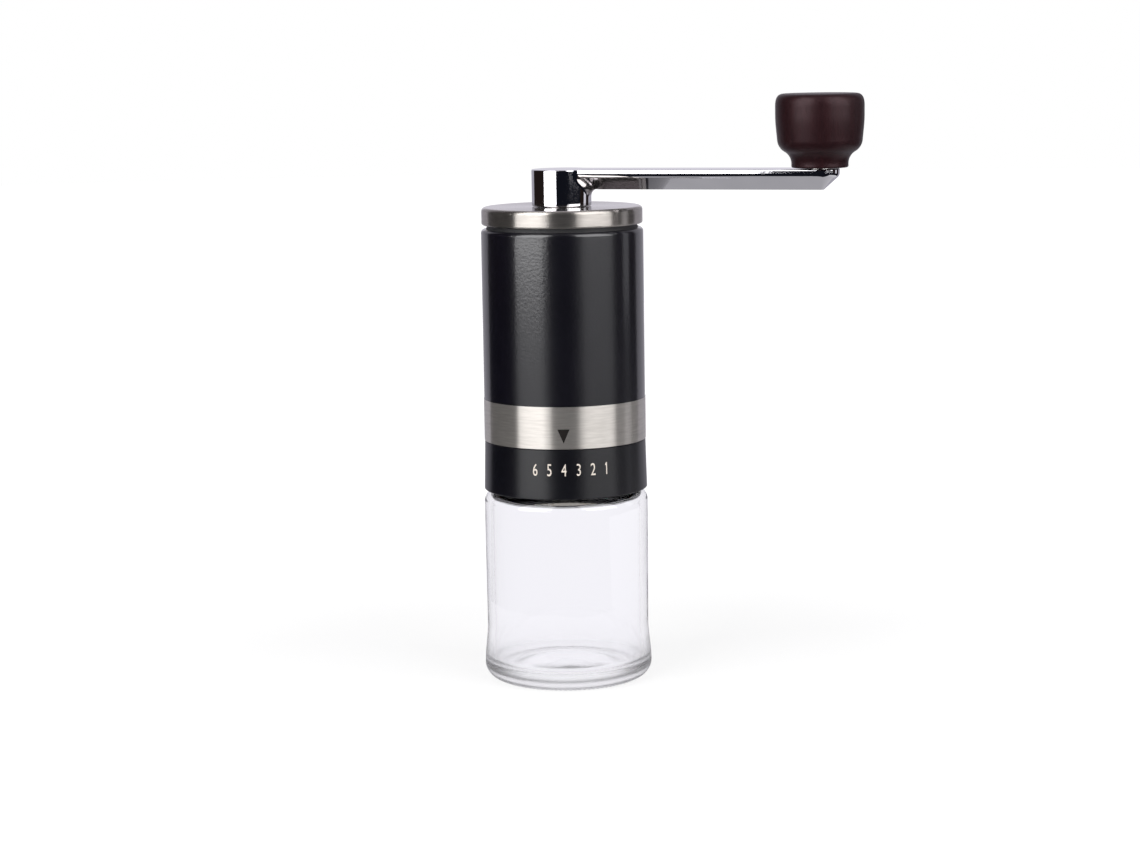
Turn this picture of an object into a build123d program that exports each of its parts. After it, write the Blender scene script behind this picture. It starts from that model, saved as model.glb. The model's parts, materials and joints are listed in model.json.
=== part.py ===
"""Hand crank coffee grinder with a glass jar, an outside grind dial and conical burrs.

The origin is the centre of the jar's foot, on the grinder's axis. +Z is up, and the front, with the
dial's numbers, faces -Y. Lengths are millimetres and angles are degrees. Each section below makes one
piece, from the jar upwards.
"""
from math import cos, radians, sin
import os

from build123d import *

# ---------------------------------------------------------------- driving dimensions
# Gaps and fits, each measured on the radius or along the axis
press_gap = 0.03  # pieces pressed or dropped into each other
running_gap = 0.06  # shafts in their bushes, and the carrier in its thread seat
turning_gap = 0.12  # slow rings that slide past each other
free_gap = 0.3  # pieces of different bodies that only pass each other

# Outside: every ring from the lid down to the jar takes its radius from the painted sleeve's
body_radius = 24.5
lid_inset = 0.2
band_proud = 0.1
dial_top_inset = 0.05
dial_flare = 0.35  # how much wider the dial is at its lower edge
jar_proud = 0.4

# Glass jar
jar_waist = 0.25  # how far the side draws in above the heel
jar_heel = 0.65  # how far the heel stands out past the side
jar_foot_inset = 4.0
jar_shoulder_height = 58.2
jar_shoulder_round = 3.6
jar_wall = 2.4
jar_floor = 4.8
jar_foot_recess = 0.7
jar_foot_bevel = 1.0  # how far the recess's wall leans in
jar_foot_band = 3.4
jar_floor_dome = 0.8
jar_floor_round = 2.5
heel_fade_height = 17.0
neck_wall = 2.2
neck_height = 10.0
neck_root_round = 0.6
neck_lip_round = 0.73

# Jar collar: a threaded skirt with a seal ledge and two posts that reach up to the core
seal_thickness = 1.3
ledge_thickness = 1.3
jar_thread_depth = 0.9
collar_wall = 1.3
post_stop_gap = 1.0  # angle left between a lug and a post at each end of the dial's travel
collar_screw_radius = 1.0
collar_screw_head_radius = 1.7
collar_screw_head_height = 1.2
collar_screw_slot = 0.5
collar_screw_slot_length = 2.38
collar_screw_length = 9.0
collar_screw_spread = 38.0

# Adjusting dial: a skirt outside the collar with two lugs that reach the burr carrier
dial_wall = 1.51
dial_edge = 0.3
lug_spread = 62.0
lug_thickness = 2.7
key_spread = 40.0
setting_step = 10.25
settings_above_rest = 2  # coarser settings left of the one in use
settings_below_rest = 3  # finer settings right of the one in use
dimple_radius = 1.0
dimple_depth = 0.35

# Steel band, painted sleeve and hopper core
shell_wall = 0.8
band_height = 12.6
sleeve_height = 51.3
sleeve_edge_round = 1.2
sleeve_lip = 1.6  # how far the sleeve's top edge is turned in
core_wall = 2.4
bridge_step = 0.6  # how far the core's bore opens above the bridge's seat
rim_rise = 0.3
funnel_height = 7.4
throat_step = 0.4  # the throat's edge inside the retainer's bore
seat_roof = 1.4
arm_count = 3
spider_arm_width = 3.0
spider_arm_height = 5.0

# Burr carrier, outer burr and retainer
carrier_side_gap = 0.7  # between the carrier and the jar's mouth
carrier_wall = 1.55
carrier_lip = 1.2
carrier_lip_width = 1.62
carrier_thread_lead = 6.0
retainer_height = 3.0
carrier_drop = 3.0  # the carrier's lower edge below the jar's mouth
retainer_width = 1.82
retainer_notches = 4

# Conical burrs
burr_height = 14.0  # of the outer ring
burr_ring_wall = 1.24  # of the outer ring behind its lowest teeth
fine_zone = 5.4
fine_slope = 0.36
burr_gap = 0.38
fine_teeth = 30
fine_tooth_depth = 1.1
fine_twist = 8.0
feed_blades = 6
feed_blade_depth = 2.6
feed_root_wall = 1.1  # between the blades' roots and the spring's pocket
feed_start_share = 0.35  # of a blade's depth where it leaves the fine teeth
feed_skew = 0.72  # where the root lies between two blades, as a share of their pitch
feed_sections = 5
feed_twist = 66.0
feed_flutes = 8
feed_flute_depth = 1.3
feed_mouth_slope = 0.36
inner_burr_rise = 2.6  # the inner burr's top above the outer ring

# Drive shaft and what it carries
shaft_radius = 3.0
shaft_thread_radius = 2.5
bush_wall = 1.5
bush_flange = 0.8
hub_wall = 1.4
lower_bush_length = 8.0
bridge_height = 6.0
bridge_depth = 15.0  # the bridge's seat below the core's rim
burr_washer_thickness = 1.2
burr_washer_radius = 6.0
burr_nut_flats = 8.0
burr_nut_height = 4.0
shaft_stub = 0.8  # what the thread shows below the nut
shaft_end_bevel = 0.4
thrust_washer_thickness = 0.5
shaft_clip_thickness = 0.6
shaft_clip_radius = 5.0
clip_groove_depth = 0.55
spring_wire_radius = 0.4
spring_radius = 4.1
spring_turns = 5.0
spring_pocket = 6.0
socket_depth = 17.0  # how far the hexagon stands in the crank's socket
socket_gap = 0.1

# Detent of the dial
ball_radius = 1.0
detent_depth = 5.2
detent_wire_radius = 0.18
detent_turns = 4.0

# Lid
lid_height = 5.3
lid_gap = 0.9  # shadow gap between the lid's lower edge and the body's rim
lid_sheet = 0.7
lid_corner = 1.2
lid_roll_round = 0.63
plug_depth = 4.5
plug_wall = 1.5
liner_boss_radius = 9.4
liner_ribs = 6
liner_rib_width = 1.4
lid_bush_wall = 1.5
lid_bush_length = 6.7

# Crank: hub, arm and the spigot that turns in the lid
crank_azimuth = -15.0  # the arm's rest direction, measured from +X
hub_radius = 9.0
hub_lift = 0.12
hub_height = 11.0
spigot_radius = 5.8
crank_reach = 78.5
arm_root_half_width = 6.9  # at the hub's axis
arm_half_width = 5.8  # at the knob's axis
arm_side = 1.8
arm_bevel_height = 3.6
arm_bevel_run = 4.6
arm_crease_round = 1.5  # where the upright side turns into the bevel
arm_root_fillet = 3.0
crank_edge = 0.35  # round on the casting's sharp edges
crank_washer_thickness = 0.8
crank_clip_thickness = 0.8
crank_clip_radius = 7.6

# Knob and its pin
knob_height = 21.6
knob_foot_radius = 8.35
knob_foot_height = 1.2
knob_neck_round = 4.0
knob_neck_sweep = 60.0
knob_shoulder_round = 4.3
knob_wall_lean = 5.0
knob_radius = 13.05
knob_widest_height = 15.5
knob_crown_width = 2.6
knob_crown_height = 3.6
knob_foot_edge = 0.5
knob_gap = 0.3
knob_bore_depth = 16.0
knob_pin_radius = 2.5
knob_stud_radius = 2.0
knob_stud_depth = 3.5
knob_pin_head_radius = 3.6
knob_pin_head_height = 1.2
knob_bush_wall = 1.6

# ---------------------------------------------------------------- heights and radii that follow
seal_bottom = jar_shoulder_height + neck_height
ledge_bottom = seal_bottom + seal_thickness
ledge_top = ledge_bottom + ledge_thickness
dial_bottom = jar_shoulder_height + free_gap
lug_bottom = ledge_top + turning_gap
dial_top = lug_bottom + lug_thickness
band_bottom = dial_top + turning_gap
band_top = band_bottom + band_height
sleeve_top = band_top + sleeve_height
rim_top = sleeve_top + rim_rise

lid_radius = body_radius - lid_inset
band_radius = body_radius + band_proud
dial_top_radius = body_radius - dial_top_inset
dial_bottom_radius = dial_top_radius + dial_flare
dial_bore = dial_top_radius - dial_wall
collar_radius = dial_bore - turning_gap
collar_bore = collar_radius - collar_wall
jar_radius = body_radius + jar_proud
jar_waist_radius = jar_radius - jar_waist
jar_heel_radius = jar_radius + jar_heel
jar_foot_radius = jar_radius - jar_foot_inset
neck_radius = collar_bore - jar_thread_depth - turning_gap
neck_bore = neck_radius - neck_wall
carrier_radius = neck_bore - carrier_side_gap
core_radius = body_radius - shell_wall - press_gap
hopper_radius = core_radius - core_wall
mouth_radius = hopper_radius + bridge_step
seat_radius = carrier_radius + running_gap
ledge_radius = carrier_radius + free_gap
collar_screw_orbit = (ledge_radius + collar_radius) / 2
detent_orbit = (ledge_radius + dial_bore) / 2
bridge_bottom = rim_top - bridge_depth

dial_travel_up = setting_step * settings_above_rest
dial_travel_down = setting_step * settings_below_rest
carrier_rise = carrier_thread_lead * dial_travel_up / 360
carrier_fall = carrier_thread_lead * dial_travel_down / 360
post_azimuth = (dial_travel_up - dial_travel_down) / 2
post_spread = 180 - lug_spread - dial_travel_up - dial_travel_down - 2 * post_stop_gap
detent_azimuth = post_azimuth + 90

carrier_bore = carrier_radius - carrier_wall
outer_burr_radius = carrier_bore - press_gap
carrier_lip_radius = outer_burr_radius - carrier_lip_width
retainer_bore = outer_burr_radius - retainer_width
throat_radius = retainer_bore - throat_step
carrier_bottom = seal_bottom - carrier_drop
burr_bottom = carrier_bottom + carrier_lip
burr_top = burr_bottom + burr_height
carrier_top = burr_top + retainer_height
fine_top = burr_bottom + fine_zone
inner_burr_top = burr_top + inner_burr_rise
fine_root_radius = outer_burr_radius - burr_ring_wall  # of the outer ring's lowest teeth
fine_crest_radius = fine_root_radius - fine_tooth_depth - burr_gap
burr_corner_radius = fine_crest_radius - fine_slope * fine_zone
spring_pocket_radius = spring_radius + spring_wire_radius + turning_gap
feed_top_radius = spring_pocket_radius + feed_root_wall + feed_blade_depth
seat_top = carrier_top + carrier_rise + free_gap
throat_top = seat_top + seat_roof
funnel_top = throat_top + funnel_height

shaft_flats = 2 * shaft_radius * cos(radians(30))
bush_bore = shaft_radius + running_gap
bush_radius = bush_bore + bush_wall
bearing_hub_radius = bush_radius + hub_wall
lower_hub_bottom = throat_top + free_gap
lower_hub_top = lower_hub_bottom + lower_bush_length
upper_bush_top = bridge_bottom + bridge_height + bush_flange
clip_bottom = upper_bush_top + thrust_washer_thickness + press_gap
clip_top = clip_bottom + shaft_clip_thickness
spigot_bottom = clip_top + free_gap
shaft_top = spigot_bottom + socket_depth
nut_top = burr_bottom - burr_washer_thickness
nut_bottom = nut_top - burr_nut_height
shaft_bottom = nut_bottom - shaft_stub

lid_bottom = rim_top + lid_gap
lid_top = lid_bottom + lid_height
hub_bottom = lid_top + hub_lift
hub_top = hub_bottom + hub_height
crease_height = hub_top - arm_side
arm_bottom = crease_height - arm_bevel_height
lid_bush_radius = spigot_radius + running_gap + lid_bush_wall
lid_bush_bottom = lid_top - lid_bush_length
knob_bottom = hub_top + knob_gap

crank_frame = Plane.XY.rotated((0, 0, crank_azimuth))


# ---------------------------------------------------------------- shapes used more than once
def ring(outer, inner, bottom, height):
    """A plain washer or tube on the grinder's axis."""
    with BuildPart() as tube:
        with BuildSketch(Plane.XY.offset(bottom)):
            Circle(outer)
            Circle(inner, mode=Mode.SUBTRACT)
        extrude(amount=height)
    return tube.part


def corner(section, radius, height):
    """The corner of a turned section that lies nearest to a radius and a height."""
    return section.vertices().sort_by_distance((radius, height))[0]


def sector(outer, inner, middle, spread):
    """Sketch face of a ring's sector, centred on the azimuth called middle."""
    with BuildSketch() as face:
        Circle(outer)
        Circle(inner, mode=Mode.SUBTRACT)
        with BuildLine():
            reach = outer / cos(radians(spread / 2)) + 1 if spread < 120 else 4 * outer
            left = (reach * cos(radians(middle - spread / 2)), reach * sin(radians(middle - spread / 2)))
            right = (reach * cos(radians(middle + spread / 2)), reach * sin(radians(middle + spread / 2)))
            Polyline((0, 0), left, right, close=True)
        make_face(mode=Mode.INTERSECT)
    return face.sketch


def toothed_outline(crest, root, teeth, turn, lead=0.5):
    """Closed star with one crest and one root point for each tooth; lead skews the flanks."""
    pitch = 360 / teeth
    points = []
    for tooth in range(teeth):
        for radius, share in ((crest, 0.0), (root, lead)):
            angle = radians(turn + pitch * (tooth + share))
            points.append((radius * cos(angle), radius * sin(angle)))
    return points


def toothed_cone(levels, teeth, lead=0.5):
    """Solid through toothed sections; levels holds (height, crest, root, turn) for each section."""
    with BuildPart() as cone:
        for height, crest, root, turn in levels:
            with BuildSketch(Plane.XY.offset(height)):
                with BuildLine():
                    Polyline(*toothed_outline(crest, root, teeth, turn, lead), close=True)
                make_face()
        loft(ruled=True)
    return cone.part


def coil(radius, wire, bottom, top, turns):
    """Compression spring whose wire stays between the heights bottom and top."""
    height = top - bottom - 2 * wire
    with BuildPart() as spring:
        with BuildLine():
            path = Helix(height / turns, height, radius, center=(0, 0, bottom + wire))
        with BuildSketch(Plane(origin=path @ 0, z_dir=path % 0)):
            Circle(wire)
        sweep(path=path, is_frenet=True)
    return spring.part


def save(piece, name):
    piece.label = name
    export_step(piece, f"parts/{name}.step")


os.makedirs("parts", exist_ok=True)

# ---------------------------------------------------------------- glass jar
with BuildPart() as glass_jar:
    with BuildSketch(Plane.XZ) as jar_section:
        inner_radius = jar_radius - jar_wall
        foot_inner = jar_foot_radius - jar_foot_band
        heel_round = jar_heel_radius - jar_foot_radius
        shoulder_start = jar_shoulder_height - jar_shoulder_round
        shoulder_underside = jar_shoulder_height - jar_wall
        with BuildLine():
            Line((0, jar_foot_recess), (foot_inner - jar_foot_bevel, jar_foot_recess))
            Line((foot_inner - jar_foot_bevel, jar_foot_recess), (foot_inner, 0))
            Line((foot_inner, 0), (jar_foot_radius, 0))
            TangentArc((jar_foot_radius, 0), (jar_heel_radius, heel_round), tangent=(1, 0))
            Spline(
                (jar_heel_radius, heel_round),
                (jar_waist_radius, heel_fade_height),
                tangents=((0, 1), (0, 1)),
            )
            Line((jar_waist_radius, heel_fade_height), (jar_radius, shoulder_start))
            TangentArc(
                (jar_radius, shoulder_start),
                (jar_radius - jar_shoulder_round, jar_shoulder_height),
                tangent=(0, 1),
            )
            Polyline(
                (jar_radius - jar_shoulder_round, jar_shoulder_height),
                (neck_radius, jar_shoulder_height),
                (neck_radius, seal_bottom),
                (neck_bore, seal_bottom),
                (neck_bore, shoulder_underside),
                (inner_radius, shoulder_underside),
                (inner_radius, jar_floor),
                (0, jar_floor + jar_floor_dome),
                (0, jar_foot_recess),
            )
        make_face()
        fillet(corner(jar_section, inner_radius, jar_floor), radius=jar_floor_round)
        inner_shoulder = corner(jar_section, inner_radius, shoulder_underside)
        fillet(inner_shoulder, radius=jar_shoulder_round - jar_wall)
        fillet(corner(jar_section, neck_bore, shoulder_underside), radius=neck_root_round)
        fillet(corner(jar_section, neck_radius, jar_shoulder_height), radius=neck_root_round)
        fillet(corner(jar_section, neck_radius, seal_bottom), radius=neck_lip_round)
        fillet(corner(jar_section, neck_bore, seal_bottom), radius=neck_lip_round)
    revolve(axis=Axis.Z)
save(glass_jar.part, "glass_jar")

# ---------------------------------------------------------------- jar seal
jar_seal = ring(neck_radius + free_gap, neck_bore, seal_bottom, seal_thickness)
save(jar_seal, "jar_seal")

# ---------------------------------------------------------------- jar collar and its screws
collar_bottom = dial_bottom + free_gap
screw_spots = [
    (collar_screw_orbit, post_azimuth + side + lean)
    for side in (0, 180)
    for lean in (-collar_screw_spread / 2, collar_screw_spread / 2)
]
screw_points = [
    (orbit * cos(radians(azimuth)), orbit * sin(radians(azimuth))) for orbit, azimuth in screw_spots
]
screw_head_bottom = ledge_bottom + turning_gap
screw_head_top = screw_head_bottom + collar_screw_head_height
screw_tip = screw_head_bottom + collar_screw_length

with BuildPart() as jar_collar:
    with BuildSketch(Plane.XY.offset(collar_bottom)):
        Circle(collar_radius)
        Circle(collar_bore, mode=Mode.SUBTRACT)
    extrude(amount=ledge_top - collar_bottom)
    with BuildSketch(Plane.XY.offset(ledge_bottom)):
        Circle(collar_radius)
        Circle(ledge_radius, mode=Mode.SUBTRACT)
    extrude(amount=ledge_thickness)
    with BuildSketch(Plane.XY.offset(ledge_top)):
        for side in (0, 180):
            add(sector(collar_radius, ledge_radius, post_azimuth + side, post_spread))
    extrude(amount=band_bottom - ledge_top)
    with BuildSketch(Plane.XY.offset(ledge_bottom)):
        with Locations(*screw_points):
            Circle(collar_screw_radius + press_gap)
    extrude(amount=band_bottom - ledge_bottom, mode=Mode.SUBTRACT)
    with BuildSketch(Plane.XY.offset(ledge_bottom)):
        with Locations(*screw_points):
            Circle(collar_screw_head_radius + press_gap)
    extrude(amount=screw_head_top - ledge_bottom, mode=Mode.SUBTRACT)
save(jar_collar.part, "jar_collar")

with BuildPart() as collar_screws:
    with BuildSketch(Plane.XY.offset(screw_head_bottom)):
        with Locations(*screw_points):
            Circle(collar_screw_head_radius)
    extrude(amount=collar_screw_head_height)
    with BuildSketch(Plane.XY.offset(screw_head_top)):
        with Locations(*screw_points):
            Circle(collar_screw_radius)
    extrude(amount=screw_tip - screw_head_top)
    with BuildSketch(Plane.XY.offset(screw_head_bottom)):
        with Locations(*screw_points):
            Rectangle(collar_screw_slot_length, collar_screw_slot)
            Rectangle(collar_screw_slot, collar_screw_slot_length)
    extrude(amount=collar_screw_head_height / 2, mode=Mode.SUBTRACT)
save(collar_screws.part, "collar_screws")

# ---------------------------------------------------------------- adjusting dial
with BuildPart() as adjusting_dial:
    with BuildSketch(Plane.XZ) as dial_section:
        with BuildLine():
            Polyline(
                (dial_bore, dial_bottom),
                (dial_bottom_radius, dial_bottom),
                (dial_top_radius, dial_top),
                (dial_bore, dial_top),
                close=True,
            )
        make_face()
        chamfer(corner(dial_section, dial_bottom_radius, dial_bottom), length=dial_edge)
        chamfer(corner(dial_section, dial_top_radius, dial_top), length=dial_edge)
    revolve(axis=Axis.Z)
    with BuildSketch(Plane.XY.offset(lug_bottom)):
        for side in (-90, 90):
            add(sector(dial_bore + dial_edge, ledge_radius, side, lug_spread))
            add(sector(ledge_radius + dial_edge, outer_burr_radius + free_gap, side, key_spread))
    extrude(amount=lug_thickness)
    with PolarLocations(
        detent_orbit,
        settings_above_rest + settings_below_rest + 1,
        start_angle=detent_azimuth - dial_travel_up,
        angular_range=dial_travel_up + dial_travel_down,
        endpoint=True,
    ):
        with Locations((0, 0, dial_top + dimple_radius - dimple_depth)):
            Sphere(dimple_radius, mode=Mode.SUBTRACT)
save(adjusting_dial.part, "adjusting_dial")

# ---------------------------------------------------------------- burr carrier
key_slot_top = dial_top + carrier_fall + free_gap
with BuildPart() as burr_carrier:
    with BuildSketch(Plane.XZ):
        with BuildLine():
            Polyline(
                (carrier_lip_radius, carrier_bottom),
                (carrier_radius, carrier_bottom),
                (carrier_radius, carrier_top),
                (carrier_bore, carrier_top),
                (carrier_bore, burr_bottom),
                (carrier_lip_radius, burr_bottom),
                close=True,
            )
        make_face()
    revolve(axis=Axis.Z)
    with BuildSketch(Plane.XY.offset(carrier_bottom)):
        for side in (-90, 90):
            add(sector(carrier_radius + 1, carrier_bore, side, key_spread + post_stop_gap))
    extrude(amount=key_slot_top - carrier_bottom, mode=Mode.SUBTRACT)
save(burr_carrier.part, "burr_carrier")

# ---------------------------------------------------------------- burrs
fine_tip_radius = fine_crest_radius + burr_gap
corner_tip_radius = burr_corner_radius + burr_gap
mouth_feed_radius = corner_tip_radius + feed_mouth_slope * (burr_top - fine_top)
hex_top = inner_burr_top - spring_pocket - burr_washer_thickness

with BuildPart() as inner_burr:
    add(
        toothed_cone(
            [
                (burr_bottom, fine_crest_radius, fine_crest_radius - fine_tooth_depth, 0),
                (fine_top, burr_corner_radius, burr_corner_radius - fine_tooth_depth, fine_twist),
            ],
            fine_teeth,
        )
    )
    feed_levels = []
    for step in range(feed_sections):
        share = step / (feed_sections - 1)
        crest = burr_corner_radius - fine_tooth_depth - share * (
            burr_corner_radius - fine_tooth_depth - feed_top_radius
        )
        feed_levels.append(
            (
                fine_top + share * (inner_burr_top - fine_top),
                crest,
                crest - feed_blade_depth * (feed_start_share + (1 - feed_start_share) * share),
                feed_twist * share,
            )
        )
    add(toothed_cone(feed_levels, feed_blades, lead=feed_skew))
    with BuildSketch(Plane.XY.offset(burr_bottom)):
        RegularPolygon(shaft_flats / 2 + press_gap, 6, major_radius=False)
    extrude(amount=hex_top - burr_bottom, mode=Mode.SUBTRACT)
    with BuildSketch(Plane.XY.offset(hex_top)):
        Circle(shaft_radius + press_gap)
    extrude(amount=inner_burr_top - hex_top, mode=Mode.SUBTRACT)
    with BuildSketch(Plane.XY.offset(inner_burr_top - spring_pocket)):
        Circle(spring_pocket_radius)
    extrude(amount=spring_pocket, mode=Mode.SUBTRACT)
save(inner_burr.part, "inner_burr")

with BuildPart() as outer_burr:
    with BuildSketch(Plane.XY.offset(burr_bottom)):
        Circle(outer_burr_radius)
    extrude(amount=burr_height)
    add(
        toothed_cone(
            [
                (burr_bottom, fine_tip_radius, fine_tip_radius + fine_tooth_depth, 0),
                (fine_top, corner_tip_radius, corner_tip_radius + fine_tooth_depth, fine_twist),
            ],
            fine_teeth,
        ),
        mode=Mode.SUBTRACT,
    )
    add(
        toothed_cone(
            [
                (fine_top, corner_tip_radius, corner_tip_radius + fine_tooth_depth, 0),
                (burr_top, mouth_feed_radius - feed_flute_depth, mouth_feed_radius, -fine_twist),
            ],
            feed_flutes,
        ),
        mode=Mode.SUBTRACT,
    )
save(outer_burr.part, "outer_burr")

with BuildPart() as burr_retainer:
    with BuildSketch(Plane.XY.offset(burr_top)):
        Circle(outer_burr_radius)
        Circle(retainer_bore, mode=Mode.SUBTRACT)
    extrude(amount=retainer_height)
    with BuildSketch(Plane.XY.offset(burr_top + retainer_height / 2)):
        with PolarLocations(outer_burr_radius, retainer_notches):
            Rectangle(outer_burr_radius - retainer_bore, spider_arm_width)
    extrude(amount=retainer_height / 2, mode=Mode.SUBTRACT)
save(burr_retainer.part, "burr_retainer")

# ---------------------------------------------------------------- hopper core
rim_radius = body_radius - sleeve_lip - press_gap
rebate_bottom = sleeve_top - shell_wall - press_gap
detent_top = band_bottom + detent_depth
with BuildPart() as hopper_core:
    with BuildSketch(Plane.XZ):
        with BuildLine():
            Polyline(
                (seat_radius, band_bottom),
                (core_radius, band_bottom),
                (core_radius, rebate_bottom),
                (rim_radius, rebate_bottom),
                (rim_radius, rim_top),
                (mouth_radius, rim_top),
                (mouth_radius, bridge_bottom),
                (hopper_radius, bridge_bottom),
                (hopper_radius, funnel_top),
                (throat_radius, throat_top),
                (throat_radius, seat_top),
                (seat_radius, seat_top),
                close=True,
            )
        make_face()
    revolve(axis=Axis.Z)
    with BuildSketch(Plane.XY.offset(lower_hub_bottom)):
        Circle(bearing_hub_radius)
        with PolarLocations(hopper_radius / 2, arm_count, start_angle=90):
            Rectangle(hopper_radius, spider_arm_width)
    extrude(amount=spider_arm_height)
    with BuildSketch(Plane.XY.offset(lower_hub_bottom + spider_arm_height)):
        Circle(bearing_hub_radius)
    extrude(amount=lower_hub_top - lower_hub_bottom - spider_arm_height)
    with BuildSketch(Plane.XY.offset(lower_hub_bottom)):
        Circle(bush_radius + press_gap)
    extrude(amount=lower_bush_length, mode=Mode.SUBTRACT)
    with BuildSketch(Plane.XY.offset(band_bottom)):
        with Locations(*screw_points):
            Circle(collar_screw_radius + press_gap)
    extrude(amount=screw_tip - band_bottom + free_gap, mode=Mode.SUBTRACT)
    with BuildSketch(Plane.XY.offset(band_bottom)):
        with PolarLocations(detent_orbit, 1, start_angle=detent_azimuth):
            Circle(ball_radius + turning_gap)
    extrude(amount=detent_depth, mode=Mode.SUBTRACT)
save(hopper_core.part, "hopper_core")

# ---------------------------------------------------------------- dial detent
detent_frame = Plane.XY.rotated((0, 0, detent_azimuth))
ball_bottom = dial_top + press_gap
detent_point = detent_frame.x_dir * detent_orbit
with BuildPart() as detent_ball:
    with Locations((detent_point.X, detent_point.Y, ball_bottom + ball_radius)):
        Sphere(ball_radius)
save(detent_ball.part, "detent_ball")

spring_body = coil(
    ball_radius - 2 * detent_wire_radius,
    detent_wire_radius,
    ball_bottom + 2 * ball_radius,
    detent_top,
    detent_turns,
)
detent_spring = Pos(detent_point.X, detent_point.Y, 0) * spring_body
save(detent_spring, "detent_spring")

# ---------------------------------------------------------------- steel band and painted sleeve
steel_band = ring(band_radius, body_radius - shell_wall, band_bottom, band_height)
save(steel_band, "steel_band")

with BuildPart() as body_sleeve:
    with BuildSketch(Plane.XZ) as sleeve_section:
        with BuildLine():
            Polyline(
                (body_radius - shell_wall, band_top),
                (body_radius, band_top),
                (body_radius, sleeve_top),
                (body_radius - sleeve_lip, sleeve_top),
                (body_radius - sleeve_lip, sleeve_top - shell_wall),
                (body_radius - shell_wall, sleeve_top - shell_wall),
                close=True,
            )
        make_face()
        fillet(corner(sleeve_section, body_radius, sleeve_top), radius=sleeve_edge_round)
    revolve(axis=Axis.Z)
save(body_sleeve.part, "body_sleeve")

# ---------------------------------------------------------------- shaft bridge and the two bushes
with BuildPart() as shaft_bridge:
    with BuildSketch(Plane.XY.offset(bridge_bottom)):
        Circle(mouth_radius - press_gap)
        Circle(hopper_radius - hub_wall, mode=Mode.SUBTRACT)
        Circle(bearing_hub_radius)
        with PolarLocations(hopper_radius / 2, arm_count, start_angle=90):
            Rectangle(hopper_radius, spider_arm_width)
    extrude(amount=bridge_height / 2)
    with BuildSketch(Plane.XY.offset(bridge_bottom + bridge_height / 2)):
        Circle(bearing_hub_radius)
    extrude(amount=bridge_height / 2)
    with BuildSketch(Plane.XY.offset(bridge_bottom)):
        Circle(bush_radius + press_gap)
    extrude(amount=bridge_height, mode=Mode.SUBTRACT)
save(shaft_bridge.part, "shaft_bridge")


def flanged_bush(bottom, top, flange_bottom):
    """Bush for the drive shaft with a flange that starts at flange_bottom."""
    with BuildPart() as bush:
        with BuildSketch(Plane.XY.offset(bottom)):
            Circle(bush_radius)
            Circle(bush_bore, mode=Mode.SUBTRACT)
        extrude(amount=top - bottom)
        with BuildSketch(Plane.XY.offset(flange_bottom)):
            Circle(bearing_hub_radius)
            Circle(bush_bore, mode=Mode.SUBTRACT)
        extrude(amount=bush_flange)
    return bush.part


lower_flange = lower_hub_bottom - bush_flange
save(flanged_bush(lower_flange, lower_hub_top, lower_flange), "lower_bush")
save(flanged_bush(bridge_bottom, upper_bush_top, upper_bush_top - bush_flange), "upper_bush")

# ---------------------------------------------------------------- drive shaft
with BuildPart() as drive_shaft:
    with BuildSketch(Plane.XY.offset(shaft_bottom)):
        Circle(shaft_thread_radius)
    extrude(amount=burr_bottom - shaft_bottom)
    with BuildSketch(Plane.XY.offset(burr_bottom)):
        RegularPolygon(shaft_flats / 2, 6, major_radius=False)
    extrude(amount=hex_top - burr_bottom)
    with BuildSketch(Plane.XY.offset(hex_top)):
        Circle(shaft_radius)
    extrude(amount=spigot_bottom - hex_top)
    with BuildSketch(Plane.XY.offset(spigot_bottom)):
        RegularPolygon(shaft_flats / 2, 6, major_radius=False)
    extrude(amount=shaft_top - spigot_bottom)
    with BuildSketch(Plane.XY.offset(clip_bottom)):
        Circle(shaft_radius + 1)
        Circle(shaft_radius - clip_groove_depth, mode=Mode.SUBTRACT)
    extrude(amount=shaft_clip_thickness, mode=Mode.SUBTRACT)
    chamfer(drive_shaft.faces().sort_by(Axis.Z)[-1].edges(), length=shaft_end_bevel)
save(drive_shaft.part, "drive_shaft")


def spring_clip(outer, inner, bottom, thickness):
    """Retaining clip: a ring with a gap, pushed on from the side."""
    with BuildPart() as clip:
        with BuildSketch(Plane.XY.offset(bottom)):
            Circle(outer)
            Circle(inner, mode=Mode.SUBTRACT)
            with Locations((outer / 2, 0)):
                Rectangle(outer, inner, mode=Mode.SUBTRACT)
        extrude(amount=thickness)
    return clip.part


shaft_clip_bore = shaft_radius - clip_groove_depth + press_gap
save(spring_clip(shaft_clip_radius, shaft_clip_bore, clip_bottom, shaft_clip_thickness), "shaft_clip")
save(ring(shaft_clip_radius, bush_bore, upper_bush_top, thrust_washer_thickness), "thrust_washer")
spring_washer_bottom = lower_flange - thrust_washer_thickness - press_gap
save(ring(shaft_clip_radius, bush_bore, spring_washer_bottom, thrust_washer_thickness), "spring_washer")
pocket_bottom = inner_burr_top - spring_pocket
save(
    coil(spring_radius, spring_wire_radius, pocket_bottom, spring_washer_bottom, spring_turns),
    "burr_spring",
)
thread_bore = shaft_thread_radius + press_gap
save(ring(burr_washer_radius, thread_bore, nut_top, burr_washer_thickness), "burr_washer")

with BuildPart() as burr_nut:
    with BuildSketch(Plane.XY.offset(nut_bottom)):
        RegularPolygon(burr_nut_flats / 2, 6, major_radius=False)
        Circle(thread_bore, mode=Mode.SUBTRACT)
    extrude(amount=burr_nut_height)
save(burr_nut.part, "burr_nut")

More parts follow.
